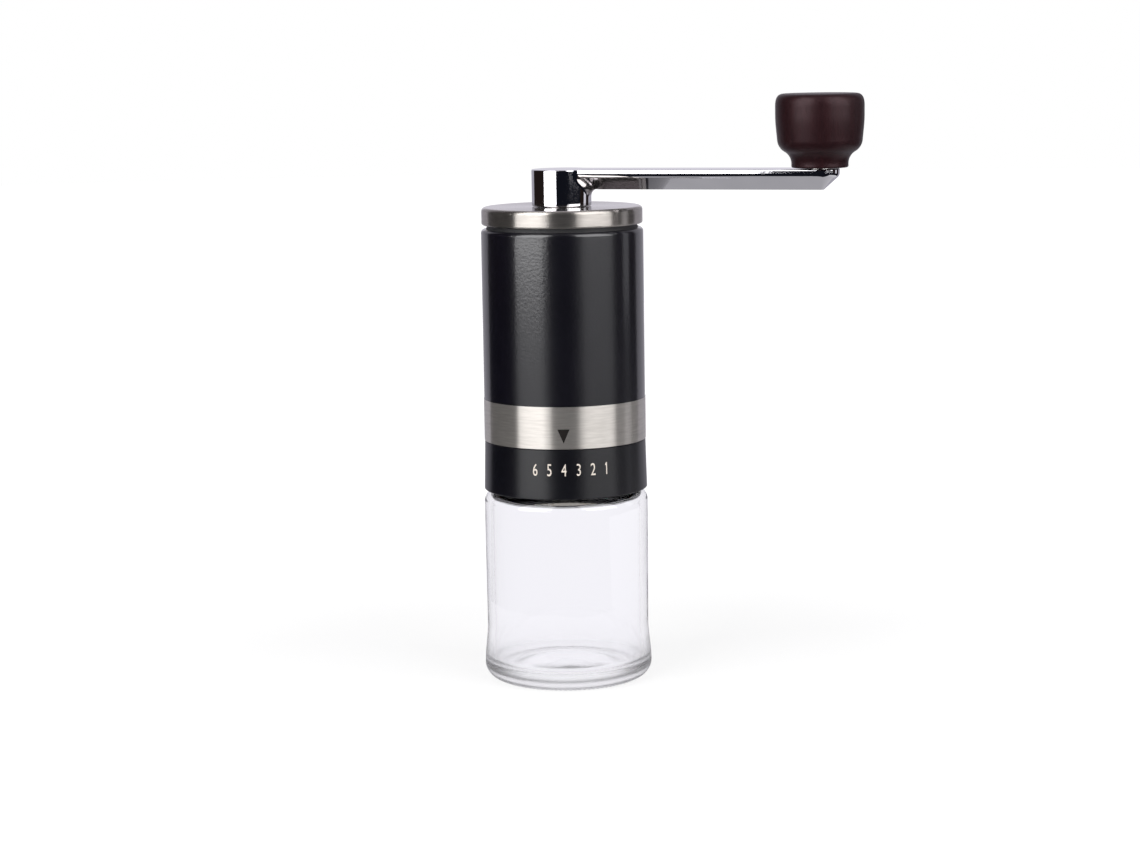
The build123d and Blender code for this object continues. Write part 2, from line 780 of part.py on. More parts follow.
# ---------------------------------------------------------------- lid cap, liner and bush
with BuildPart() as lid_cap:
    with BuildSketch(Plane.XZ) as cap_section:
        hole = lid_bush_radius + press_gap
        roll = lid_radius - sleeve_lip
        with BuildLine():
            Polyline(
                (hole, lid_top),
                (lid_radius, lid_top),
                (lid_radius, lid_bottom),
                (roll, lid_bottom),
                (roll, lid_bottom + lid_sheet),
                (lid_radius - lid_sheet, lid_bottom + lid_sheet),
                (lid_radius - lid_sheet, lid_top - lid_sheet),
                (hole, lid_top - lid_sheet),
                close=True,
            )
        make_face()
        fillet(corner(cap_section, lid_radius, lid_top), radius=lid_corner)
        fillet(corner(cap_section, lid_radius, lid_bottom), radius=lid_roll_round)
        inner_corner = corner(cap_section, lid_radius - lid_sheet, lid_top - lid_sheet)
        fillet(inner_corner, radius=lid_corner - lid_sheet)
    revolve(axis=Axis.Z)
save(lid_cap.part, "lid_cap")

plug_radius = mouth_radius - turning_gap
plug_bottom = rim_top - plug_depth
liner_top = lid_top - lid_sheet
liner_radius = lid_radius - lid_sheet - press_gap
liner_shelf = lid_bottom + lid_sheet + press_gap
with BuildPart() as lid_liner:
    with BuildSketch(Plane.XZ) as liner_section:
        with BuildLine():
            Polyline(
                (hole, liner_top),
                (liner_radius, liner_top),
                (liner_radius, liner_shelf),
                (roll - press_gap, liner_shelf),
                (roll - press_gap, rim_top),
                (plug_radius, rim_top),
                (plug_radius, plug_bottom),
                (plug_radius - plug_wall, plug_bottom),
                (plug_radius - plug_wall, liner_top - plug_wall),
                (liner_boss_radius, liner_top - plug_wall),
                (liner_boss_radius, lid_bush_bottom),
                (hole, lid_bush_bottom),
                close=True,
            )
        make_face()
        chamfer(corner(liner_section, liner_radius, liner_top), length=lid_corner - lid_sheet)
    revolve(axis=Axis.Z)
    with BuildSketch(Plane.XY.offset(liner_top - 2 * plug_wall)):
        with PolarLocations((plug_radius + liner_boss_radius) / 2, liner_ribs):
            Rectangle(plug_radius - liner_boss_radius - plug_wall, liner_rib_width)
    extrude(amount=plug_wall)
save(lid_liner.part, "lid_liner")

lid_bush = ring(
    lid_bush_radius, spigot_radius + running_gap, lid_bush_bottom, lid_bush_length
)
save(lid_bush, "lid_bush")

# ---------------------------------------------------------------- crank
crank_washer_bottom = lid_bush_bottom - crank_washer_thickness - press_gap
crank_clip_bottom = crank_washer_bottom - crank_clip_thickness - press_gap


def on_hub_side(edge):
    """True for an edge that runs over the hub's round wall, apart from its two rims."""
    spread = [abs(Vector(point.X, point.Y).length - hub_radius) for point in edge.positions([0, 0.5, 1])]
    return max(spread) < press_gap and hub_bottom < edge.center().Z < hub_top - press_gap


def arm_half_section(half_width):
    """Half of the arm's section: a flat top, an upright side, a soft crease and a bevel below it."""
    with BuildSketch() as half:
        with BuildLine():
            Polyline(
                (0, arm_bottom),
                (half_width - arm_bevel_run, arm_bottom),
                (half_width, crease_height),
                (half_width, hub_top),
                (0, hub_top),
                close=True,
            )
        make_face()
        fillet(corner(half, half_width, crease_height), radius=arm_crease_round)
    return half.sketch


arm_tip = crank_frame.from_local_coords((crank_reach, 0, 0))
root_plane = Plane(origin=(0, 0, 0), x_dir=-crank_frame.y_dir, z_dir=-crank_frame.x_dir)
tip_plane = Plane(origin=arm_tip, x_dir=-crank_frame.y_dir, z_dir=-crank_frame.x_dir)
with BuildPart() as crank_arm:
    with BuildSketch(crank_frame.rotated((0, 0, 180)).offset(hub_bottom)):
        Circle(hub_radius)
    extrude(amount=hub_height)
    for plane, half_width in ((root_plane, arm_root_half_width), (tip_plane, arm_half_width)):
        with BuildSketch(plane):
            add(arm_half_section(half_width))
            mirror(about=Plane.YZ)
    loft(ruled=True)
    with BuildSketch(tip_plane):
        add(arm_half_section(arm_half_width))
    revolve(axis=Axis(arm_tip, (0, 0, 1)))
    fillet(crank_arm.edges().filter_by(on_hub_side), radius=arm_root_fillet)
    fillet(crank_arm.faces().sort_by(Axis.Z)[-1].edges(), radius=crank_edge)
    fillet(crank_arm.faces().sort_by(Axis.Z)[0].edges(), radius=crank_edge)
    with BuildSketch(Plane.XY.offset(spigot_bottom)):
        Circle(spigot_radius)
    extrude(amount=hub_bottom - spigot_bottom)
    with BuildSketch(Plane.XY.offset(crank_clip_bottom)):
        Circle(spigot_radius + 1)
        Circle(spigot_radius - clip_groove_depth, mode=Mode.SUBTRACT)
    extrude(amount=crank_clip_thickness, mode=Mode.SUBTRACT)
    with BuildSketch(Plane.XY.offset(spigot_bottom)):
        RegularPolygon(shaft_flats / 2 + socket_gap, 6, major_radius=False)
    extrude(amount=socket_depth + free_gap, mode=Mode.SUBTRACT)
    with BuildSketch(crank_frame.offset(hub_top)):
        with Locations((crank_reach, 0)):
            Circle(knob_stud_radius + press_gap)
    extrude(amount=-knob_stud_depth, mode=Mode.SUBTRACT)
save(crank_arm.part, "crank_arm")

spigot_bore = spigot_radius + running_gap
crank_clip_bore = spigot_radius - clip_groove_depth + press_gap
save(ring(crank_clip_radius, spigot_bore, crank_washer_bottom, crank_washer_thickness), "crank_washer")
save(
    spring_clip(crank_clip_radius, crank_clip_bore, crank_clip_bottom, crank_clip_thickness),
    "crank_clip",
)

# ---------------------------------------------------------------- knob pin, knob bush and knob
bush_top = knob_bottom + knob_bore_depth - knob_pin_head_height - knob_gap
pin_head_bottom = bush_top + press_gap
knob_bush_radius = knob_pin_radius + running_gap + knob_bush_wall
knob_centre = (crank_reach, 0)

with BuildPart() as knob_pin:
    with BuildSketch(crank_frame.offset(hub_top - knob_stud_depth)):
        with Locations(knob_centre):
            Circle(knob_stud_radius)
    extrude(amount=knob_stud_depth)
    with BuildSketch(crank_frame.offset(hub_top)):
        with Locations(knob_centre):
            Circle(knob_pin_head_radius)
    extrude(amount=knob_gap - press_gap)
    with BuildSketch(crank_frame.offset(hub_top)):
        with Locations(knob_centre):
            Circle(knob_pin_radius)
    extrude(amount=pin_head_bottom - hub_top)
    with BuildSketch(crank_frame.offset(pin_head_bottom)):
        with Locations(knob_centre):
            Circle(knob_pin_head_radius)
    extrude(amount=knob_pin_head_height)
save(knob_pin.part, "knob_pin")

with BuildPart() as knob_bush:
    with BuildSketch(crank_frame.offset(knob_bottom)):
        with Locations(knob_centre):
            Circle(knob_bush_radius)
            Circle(knob_pin_radius + running_gap, mode=Mode.SUBTRACT)
    extrude(amount=bush_top - knob_bottom)
save(knob_bush.part, "knob_bush")

knob_origin = crank_frame.from_local_coords((crank_reach, 0, knob_bottom))
knob_section = Plane(origin=knob_origin, x_dir=(1, 0, 0), z_dir=(0, -1, 0))
with BuildPart() as knob:
    with BuildSketch(knob_section):
        with BuildLine():
            Line((0, 0), (knob_foot_radius - knob_foot_edge, 0))
            foot = TangentArc(
                (knob_foot_radius - knob_foot_edge, 0), (knob_foot_radius, knob_foot_edge), tangent=(1, 0)
            )
            ankle = Line(foot @ 1, (knob_foot_radius, knob_foot_height))
            neck = JernArc(ankle @ 1, (0, 1), knob_neck_round, -knob_neck_sweep)
            shoulder = JernArc(neck @ 1, neck % 1, knob_shoulder_round, knob_neck_sweep - knob_wall_lean)
            wall = Spline(shoulder @ 1, (knob_radius, knob_widest_height), tangents=(shoulder % 1, (0, 1)))
            crown_start = (knob_radius, knob_height - knob_crown_height)
            Line(wall @ 1, crown_start)
            crown = Spline(
                crown_start, (knob_radius - knob_crown_width, knob_height), tangents=((0, 1), (-1, 0))
            )
            Polyline(crown @ 1, (0, knob_height), (0, 0))
        make_face()
    revolve(axis=Axis(knob_section.origin, (0, 0, 1)))
    with BuildSketch(crank_frame.offset(knob_bottom)):
        with Locations(knob_centre):
            Circle(knob_bush_radius + press_gap)
    extrude(amount=knob_bore_depth, mode=Mode.SUBTRACT)
save(knob.part, "knob")
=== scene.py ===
"""Finishes, glass, printed marks and studio for the hand crank coffee grinder.

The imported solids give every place: the jar's foot stands on z = 0, +Z is up and the dial's numbers
face -Y. Lengths are metres, written as millimetres times MM. An azimuth is measured from the front,
positive towards +X.
"""

import json
from math import cos, radians, sin, tau

import bmesh
import bpy
from mathutils import Matrix, Vector


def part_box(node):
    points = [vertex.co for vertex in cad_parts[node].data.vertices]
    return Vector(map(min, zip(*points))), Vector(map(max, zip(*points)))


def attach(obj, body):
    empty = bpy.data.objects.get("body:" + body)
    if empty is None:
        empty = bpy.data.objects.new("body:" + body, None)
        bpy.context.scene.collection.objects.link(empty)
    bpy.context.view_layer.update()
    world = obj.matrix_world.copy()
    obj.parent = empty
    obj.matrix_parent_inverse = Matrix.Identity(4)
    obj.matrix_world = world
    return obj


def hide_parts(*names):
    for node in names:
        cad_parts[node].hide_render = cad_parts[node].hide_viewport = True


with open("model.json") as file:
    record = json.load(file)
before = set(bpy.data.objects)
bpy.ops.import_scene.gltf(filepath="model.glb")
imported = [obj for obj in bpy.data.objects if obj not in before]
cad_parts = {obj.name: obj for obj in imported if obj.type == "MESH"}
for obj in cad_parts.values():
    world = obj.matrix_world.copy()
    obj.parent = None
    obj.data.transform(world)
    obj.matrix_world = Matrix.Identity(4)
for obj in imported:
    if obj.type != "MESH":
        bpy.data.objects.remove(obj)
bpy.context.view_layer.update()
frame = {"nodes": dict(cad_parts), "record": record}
scene = bpy.context.scene
nodes = frame["nodes"]

MM = 0.001


# ---------------------------------------------------------------- small helpers
def linear(code):
    """Linear RGBA of an sRGB hex colour such as #1a2b3c."""
    channels = [int(code[i : i + 2], 16) / 255 for i in (1, 3, 5)]
    return [c / 12.92 if c <= 0.04045 else ((c + 0.055) / 1.055) ** 2.4 for c in channels] + [1.0]


def add(tree, kind, inputs=None, **settings):
    """Adds a node. Each input is linked if its value is a socket and set if it is a plain value."""
    made = tree.nodes.new(kind)
    for name, value in settings.items():
        setattr(made, name, value)
    for name, value in (inputs or {}).items():
        if isinstance(value, bpy.types.NodeSocket):
            tree.links.new(value, made.inputs[name])
        else:
            made.inputs[name].default_value = value
    return made


def bare_material(name):
    """A new material whose node tree is empty."""
    material = bpy.data.materials.new(name)
    material.use_nodes = True
    material.node_tree.nodes.clear()
    return material, material.node_tree


def begin(name):
    """A new material with a Principled surface, and the place on the object that patterns read."""
    material, tree = bare_material(name)
    surface = add(tree, "ShaderNodeBsdfPrincipled")
    add(tree, "ShaderNodeOutputMaterial", {"Surface": surface.outputs[0]})
    place = add(tree, "ShaderNodeTexCoord").outputs["Object"]
    return material, tree, surface, place


def blend_colours(tree, factor, first, second):
    """Colour that goes from first to second as factor goes from 0 to 1."""
    inputs = {"Factor": factor, 6: linear(first), 7: linear(second)}
    return add(tree, "ShaderNodeMix", inputs, data_type="RGBA").outputs[2]


def spread_values(tree, factor, low, high):
    """Number that goes from low to high as factor goes from 0.25 to 0.75, a noise's usual range."""
    inputs = {"Value": factor, 1: 0.25, 2: 0.75, 3: low, 4: high}
    return add(tree, "ShaderNodeMapRange", inputs).outputs[0]


def grain(tree, place, size, detail=2.0, **more):
    """Noise whose patches are about size across."""
    inputs = {"Vector": place, "Scale": 1 / size, "Detail": detail, **more}
    return add(tree, "ShaderNodeTexNoise", inputs).outputs["Fac"]


def radius_of(tree, place):
    """Distance of a place from the grinder's axis."""
    flat = add(tree, "ShaderNodeVectorMath", {0: place, 1: (1, 1, 0)}, operation="MULTIPLY").outputs[0]
    return add(tree, "ShaderNodeVectorMath", {0: flat}, operation="LENGTH").outputs["Value"]


def turned_lines(tree, place, spacing, turns=5.0):
    """Fine rings round the grinder's axis, as brushing or turning leaves them, with no seam."""
    flat = add(tree, "ShaderNodeVectorMath", {0: place, 1: (1, 1, 0)}, operation="MULTIPLY").outputs[0]
    heading = add(tree, "ShaderNodeVectorMath", {0: flat}, operation="NORMALIZE").outputs[0]
    parts = add(tree, "ShaderNodeSeparateXYZ", {0: place})
    level = add(tree, "ShaderNodeMath", {0: parts.outputs[2], 1: 1 / spacing}, operation="MULTIPLY")
    around = add(tree, "ShaderNodeVectorMath", {0: heading, "Scale": turns}, operation="SCALE")
    lift = add(tree, "ShaderNodeCombineXYZ", {2: level.outputs[0]})
    vector = add(tree, "ShaderNodeVectorMath", {0: around.outputs[0], 1: lift.outputs[0]}).outputs[0]
    outwards = {0: radius_of(tree, place), 1: 1 / spacing}
    depth = add(tree, "ShaderNodeMath", outwards, operation="MULTIPLY").outputs[0]
    inputs = {"Vector": vector, "W": depth, "Scale": 1.0, "Detail": 3.0}
    return add(tree, "ShaderNodeTexNoise", inputs, noise_dimensions="4D").outputs["Fac"]


def roughen(tree, surface, height, depth):
    """Small relief of that depth on the surface."""
    bump = add(tree, "ShaderNodeBump", {"Height": height, "Distance": depth, "Strength": 1.0})
    tree.links.new(bump.outputs[0], surface.inputs["Normal"])
    return bump.outputs[0]


def brush(tree, surface, strength):
    """Draws a reflection out up and down, as rings round the grinder's axis do."""
    surface.inputs["Anisotropic"].default_value = strength
    surface.inputs["Anisotropic Rotation"].default_value = 0.25
    tangent = add(tree, "ShaderNodeTangent", direction_type="RADIAL", axis="Z")
    tree.links.new(tangent.outputs[0], surface.inputs["Tangent"])


# ---------------------------------------------------------------- finishes
def gloss_powder_coat():
    """Black powder coat on steel: deep black with a broad faint sheen, under a clear skin whose
    reflections wobble with orange peel."""
    material, tree, surface, place = begin("gloss_black_powder_coat")
    drift = grain(tree, place, 14 * MM)
    tree.links.new(blend_colours(tree, drift, "#06050b", "#0b0a12"), surface.inputs["Base Color"])
    tree.links.new(spread_values(tree, drift, 0.3, 0.32), surface.inputs["Roughness"])
    peel = roughen(tree, surface, grain(tree, place, 0.8 * MM), 0.02 * MM)
    tree.links.new(peel, surface.inputs["Coat Normal"])
    surface.inputs["Specular IOR Level"].default_value = 0.5
    brush(tree, surface, 0.75)
    surface.inputs["Coat Weight"].default_value = 0.8
    surface.inputs["Coat Roughness"].default_value = 0.1
    return material


def brushed_stainless(name, dark, light, metallic):
    """Stainless sheet brushed round the axis: upright light bars with crisp sides and soft ends, fine
    rings in them, and flat faces polished nearly to a mirror. Less metallic means a duller brushing."""
    material, tree, surface, place = begin(name)
    # real grit lines are 0.05 mm apart; these are coarser so that they show
    lines = turned_lines(tree, place, 0.5 * MM)
    tree.links.new(blend_colours(tree, lines, dark, light), surface.inputs["Base Color"])
    normal = add(tree, "ShaderNodeNewGeometry").outputs["Normal"]
    upwards = add(tree, "ShaderNodeSeparateXYZ", {0: normal}).outputs[2]
    brushed = spread_values(tree, lines, 0.305, 0.32)
    polished = add(tree, "ShaderNodeMapRange", {"Value": upwards, 1: 0.55, 2: 0.95}).outputs[0]
    roughness = add(tree, "ShaderNodeMix", {0: polished, 2: brushed, 3: 0.1}).outputs[0]
    tree.links.new(roughness, surface.inputs["Roughness"])
    surface.inputs["Metallic"].default_value = metallic
    brush(tree, surface, 1.0)
    roughen(tree, surface, lines, 0.0008 * MM)
    return material


def turned_steel():
    """Turned and ground steel of the shaft, nut, washers, clips and springs: bright with faint rings."""
    material, tree, surface, place = begin("turned_steel")
    lines = turned_lines(tree, place, 0.3 * MM, turns=3.0)
    tree.links.new(blend_colours(tree, lines, "#a5a3a0", "#c6c4c0"), surface.inputs["Base Color"])
    tree.links.new(spread_values(tree, lines, 0.2, 0.34), surface.inputs["Roughness"])
    surface.inputs["Metallic"].default_value = 1.0
    roughen(tree, surface, lines, 0.006 * MM)
    return material


def chrome_on_casting():
    """Polished zinc die casting, chromium plated: a near mirror with the casting's faint long waves."""
    material, tree, surface, place = begin("chrome_on_casting")
    waves = grain(tree, place, 9 * MM, detail=1.0)
    haze = grain(tree, place, 0.5 * MM)
    tree.links.new(blend_colours(tree, waves, "#dcdbe0", "#e9e8ec"), surface.inputs["Base Color"])
    tree.links.new(spread_values(tree, haze, 0.03, 0.06), surface.inputs["Roughness"])
    surface.inputs["Metallic"].default_value = 1.0
    roughen(tree, surface, waves, 0.02 * MM)
    return material


def satin_black_plastic():
    """Moulded ABS of the dial: satin black with a fine spark-eroded grain."""
    material, tree, surface, place = begin("satin_black_abs")
    cells = grain(tree, place, 0.22 * MM)
    drift = grain(tree, place, 11 * MM)
    tree.links.new(blend_colours(tree, drift, "#06060b", "#0a0a10"), surface.inputs["Base Color"])
    tree.links.new(spread_values(tree, cells, 0.3, 0.33), surface.inputs["Roughness"])
    surface.inputs["Specular IOR Level"].default_value = 0.53
    brush(tree, surface, 0.75)
    roughen(tree, surface, cells, 0.01 * MM)
    return material


def moulded_black_nylon():
    """Glass-filled nylon of the core, collar, carrier and liner: dull dark grey with flow marks."""
    material, tree, surface, place = begin("moulded_black_nylon")
    cells = grain(tree, place, 0.5 * MM, detail=4.0)
    flow = grain(tree, place, 6 * MM, detail=3.0, Distortion=1.2)
    tree.links.new(blend_colours(tree, flow, "#1d1d1f", "#29292b"), surface.inputs["Base Color"])
    tree.links.new(spread_values(tree, cells, 0.45, 0.62), surface.inputs["Roughness"])
    roughen(tree, surface, cells, 0.02 * MM)
    return material


def acetal():
    """Natural acetal of the bushes: waxy off-white with faint turning rings."""
    material, tree, surface, place = begin("natural_acetal")
    lines = turned_lines(tree, place, 0.35 * MM)
    tree.links.new(blend_colours(tree, lines, "#dcd8cc", "#ebe8df"), surface.inputs["Base Color"])
    tree.links.new(spread_values(tree, lines, 0.36, 0.5), surface.inputs["Roughness"])
    surface.inputs["Subsurface Weight"].default_value = 0.15
    surface.inputs["Subsurface Scale"].default_value = 1.0 * MM
    roughen(tree, surface, lines, 0.008 * MM)
    return material


def silicone():
    """Food silicone of the seal: matt milky white with a talc-like bloom."""
    material, tree, surface, place = begin("milky_silicone")
    bloom = grain(tree, place, 1.5 * MM, detail=5.0)
    tree.links.new(blend_colours(tree, bloom, "#dcdbd6", "#eeeeea"), surface.inputs["Base Color"])
    tree.links.new(spread_values(tree, bloom, 0.55, 0.72), surface.inputs["Roughness"])
    surface.inputs["Subsurface Weight"].default_value = 0.25
    surface.inputs["Subsurface Scale"].default_value = 0.8 * MM
    roughen(tree, surface, bloom, 0.02 * MM)
    return material


def ceramic():
    """Fired alumina of the burrs: chalky cream with pressed grain and a few darker specks."""
    material, tree, surface, place = begin("fired_alumina")
    pressed = grain(tree, place, 0.35 * MM, detail=4.0)
    specks = grain(tree, place, 1.1 * MM, detail=0.0)
    speck_edge = add(tree, "ShaderNodeMapRange", {"Value": specks, 1: 0.70, 2: 0.76}).outputs[0]
    body = blend_colours(tree, pressed, "#e3ded2", "#f2eee5")
    inputs = {"Factor": speck_edge, 6: body, 7: linear("#b9ab95")}
    colour = add(tree, "ShaderNodeMix", inputs, data_type="RGBA").outputs[2]
    tree.links.new(colour, surface.inputs["Base Color"])
    tree.links.new(spread_values(tree, pressed, 0.5, 0.7), surface.inputs["Roughness"])
    roughen(tree, surface, pressed, 0.03 * MM)
    return material


def stained_wood(centre):
    """Turned hardwood, stained reddish brown under satin lacquer: dark streaks, soft reddish sheen."""
    material, tree, surface, place = begin("stained_hardwood")
    to_knob = {"Vector": place, "Location": (-centre.x, -centre.y, 0), "Scale": (1, 1, 0.09)}
    along = add(tree, "ShaderNodeMapping", to_knob).outputs[0]
    streaks = grain(tree, along, 1.3 * MM, detail=5.0, Distortion=0.4)
    pores = grain(tree, along, 0.32 * MM)
    patches = grain(tree, place, 9 * MM)
    streaked = blend_colours(tree, streaks, "#120508", "#240b0e")
    inputs = {"Factor": spread_values(tree, patches, 0.0, 0.35), 6: streaked, 7: linear("#140a0c")}
    colour = add(tree, "ShaderNodeMix", inputs, data_type="RGBA").outputs[2]
    tree.links.new(colour, surface.inputs["Base Color"])
    tree.links.new(spread_values(tree, pores, 0.36, 0.5), surface.inputs["Roughness"])
    surface.inputs["Specular IOR Level"].default_value = 0.26
    surface.inputs["Specular Tint"].default_value = linear("#ffd2da")
    surface.inputs["Coat Weight"].default_value = 0.1
    surface.inputs["Coat Roughness"].default_value = 0.3
    both = add(tree, "ShaderNodeMath", {0: streaks, 1: pores}, operation="ADD").outputs[0]
    roughen(tree, surface, both, 0.03 * MM)
    return material


def pressed_glass():
    """Soda-lime glass, pressed and fire polished: clear with slow ripples, and a little misty round
    the thick heel, where the mould leaves its skin. It greys towards its outline, partly the glass's
    own tint over the longer path there and partly painted shade for the darker things its edges bend
    and mirror."""
    material, tree, surface, place = begin("pressed_soda_lime_glass")
    # greyer where the view grazes the glass: partly its own tint, partly painted shade
    facing = add(tree, "ShaderNodeLayerWeight", {"Blend": 0.5}).outputs["Facing"]
    towards_edge = {"Value": facing, 1: 0.75, 2: 1.0}
    edge = add(tree, "ShaderNodeMapRange", towards_edge, interpolation_type="SMOOTHSTEP").outputs[0]
    tree.links.new(blend_colours(tree, edge, "#fefeff", "#d2d0d8"), surface.inputs["Base Color"])
    ripple = grain(tree, place, 10 * MM, detail=1.0)
    clear = spread_values(tree, grain(tree, place, 2.5 * MM), 0.0, 0.02)
    height = add(tree, "ShaderNodeSeparateXYZ", {0: place}).outputs[2]
    radius = radius_of(tree, place)
    low = add(tree, "ShaderNodeMapRange", {"Value": height, 1: 15 * MM, 2: 4 * MM}).outputs[0]
    outside = add(tree, "ShaderNodeMapRange", {"Value": radius, 1: 19 * MM, 2: 21.5 * MM}).outputs[0]
    heel = add(tree, "ShaderNodeMath", {0: low, 1: outside}, operation="MULTIPLY").outputs[0]
    misty = 0.3
    roughness = add(tree, "ShaderNodeMix", {0: heel, 2: clear, 3: misty}).outputs[0]
    tree.links.new(roughness, surface.inputs["Roughness"])
    surface.inputs["Transmission Weight"].default_value = 1.0
    surface.inputs["IOR"].default_value = 1.5
    roughen(tree, surface, ripple, 0.05 * MM)
    return material


def silver_ink():
    """Warm silver pad print of the dial's numbers: flat, slightly grainy metal flake."""
    material, tree, surface, place = begin("warm_silver_ink")
    flake = grain(tree, place, 0.12 * MM)
    tree.links.new(blend_colours(tree, flake, "#c2b9ae", "#d8cfc4"), surface.inputs["Base Color"])
    tree.links.new(spread_values(tree, flake, 0.4, 0.55), surface.inputs["Roughness"])
    surface.inputs["Metallic"].default_value = 0.15
    roughen(tree, surface, flake, 0.008 * MM)
    return material


def black_ink():
    """Baked black print of the pointer on the steel band: brown-black, a little glossy, pinholed."""
    material, tree, surface, place = begin("baked_black_ink")
    pinholes = grain(tree, place, 0.15 * MM)
    tree.links.new(blend_colours(tree, pinholes, "#120f0d", "#1e1a18"), surface.inputs["Base Color"])
    tree.links.new(spread_values(tree, pinholes, 0.35, 0.5), surface.inputs["Roughness"])
    surface.inputs["Specular IOR Level"].default_value = 0.2
    roughen(tree, surface, pinholes, 0.008 * MM)
    return material


def middle(node):
    """The middle of a node's box."""
    low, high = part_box(node)
    return (Vector(low) + Vector(high)) / 2


glass = pressed_glass()
finish_of_slot = {
    "clear_glass": glass,
    "white_silicone": silicone(),
    "black_plastic": moulded_black_nylon(),
    "black_dial": satin_black_plastic(),
    "natural_bush": acetal(),
    "brushed_steel": brushed_stainless("brushed_stainless", "#9a9590", "#c7c2bc", 0.95),
    "turned_steel": turned_steel(),
    "black_paint": gloss_powder_coat(),
    "chrome_plate": chrome_on_casting(),
    "white_ceramic": ceramic(),
    "dark_wood": stained_wood(middle("knob")),
}
for part in frame["record"]["subparts"]:
    mesh = nodes[part["node"]].data
    mesh.materials.clear()
    mesh.materials.append(finish_of_slot[part["material_slot"]])
# the band's brushing is duller and paler than the lid's
band_steel = brushed_stainless("dull_brushed_stainless", "#aca7a2", "#d5d1cb", 0.86)
nodes["steel_band"].data.materials[0] = band_steel


# ---------------------------------------------------------------- pieces made here
merge_distance = 0.0005 * MM


def new_piece(name, vertices, faces, material, body):
    """A closed mesh with its faces turned outwards, riding on a body."""
    mesh = bpy.data.meshes.new(name)
    mesh.from_pydata(vertices, [], faces)
    return dress(bpy.data.objects.new(name, mesh), material, body)


def dress(piece, material, body):
    """Cleans a piece's mesh, gives it its finish and hangs it on its body."""
    if not piece.users_collection:
        scene.collection.objects.link(piece)
    tidy = bmesh.new()
    tidy.from_mesh(piece.data)
    bmesh.ops.remove_doubles(tidy, verts=tidy.verts, dist=merge_distance)
    bmesh.ops.recalc_face_normals(tidy, faces=tidy.faces)
    tidy.to_mesh(piece.data)
    tidy.free()
    piece.data.materials.clear()
    piece.data.materials.append(material)
    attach(piece, body)
    return piece


def on_cylinder(radius, azimuth, height):
    """The point on an upright cylinder about the grinder's axis."""
    return Vector((radius * sin(azimuth), -radius * cos(azimuth), height))


# The jar is turned again as one finer mesh, with the pressed ridges of its foot ring.
jar_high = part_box("glass_jar")[1]
seal_low, seal_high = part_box("jar_seal")
jar_heel_radius = jar_high[0] - 0.01 * MM  # just inside the solid's box
jar_radius = jar_heel_radius - 0.65 * MM
jar_waist_radius = jar_radius - 0.25 * MM
foot_radius = jar_radius - 4.0 * MM
foot_inner_radius = foot_radius - 3.4 * MM
foot_recess = 0.7 * MM
foot_recess_slope = 1.0 * MM
heel_round = jar_heel_radius - foot_radius
waist_height = 17.0 * MM
shoulder_height = seal_low[2] - 10.0 * MM
shoulder_round = 3.6 * MM
neck_radius = seal_high[0] - 0.3 * MM
neck_root_round = 0.6 * MM
neck_wall = 2.2 * MM
neck_bore = neck_radius - neck_wall
lip_round = 0.7 * MM
jar_wall = 2.4 * MM
jar_floor = 4.8 * MM
jar_floor_crown = 0.8 * MM
jar_floor_round = 2.5 * MM
ridge_depth = 0.22 * MM
ridge_count = 96
ridge_start_radius = foot_radius - 1.82 * MM  # the ridges swell from here outwards
ridge_swell_run = 1.4 * MM
ridge_end_radius = foot_radius + 2.2 * MM
ridge_skew_run = 6.0 * MM  # of radius, in which a ridge leans by its own pitch
ridge_flat = 1.6  # above 1, which gives the ridges flat crests
jar_segments = 480


def arc(centre, radius, start, end, steps):
    """Points of a round between two angles, in degrees, in a turned section."""
    angles = [radians(start + (end - start) * step / steps) for step in range(steps + 1)]
    return [(centre[0] + radius * cos(a), centre[1] + radius * sin(a)) for a in angles]


def stretch(first, second, steps):
    """Points from first to second, without the first one."""
    shares = [step / steps for step in range(1, steps + 1)]
    return [tuple(a + (b - a) * share for a, b in zip(first, second)) for share in shares]


def side_radius(height):
    """The jar's outside radius at a height from the heel up to the waist."""
    share = (height - heel_round) / (waist_height - heel_round)
    return jar_heel_radius + (jar_waist_radius - jar_heel_radius) * share * share * (3 - 2 * share)


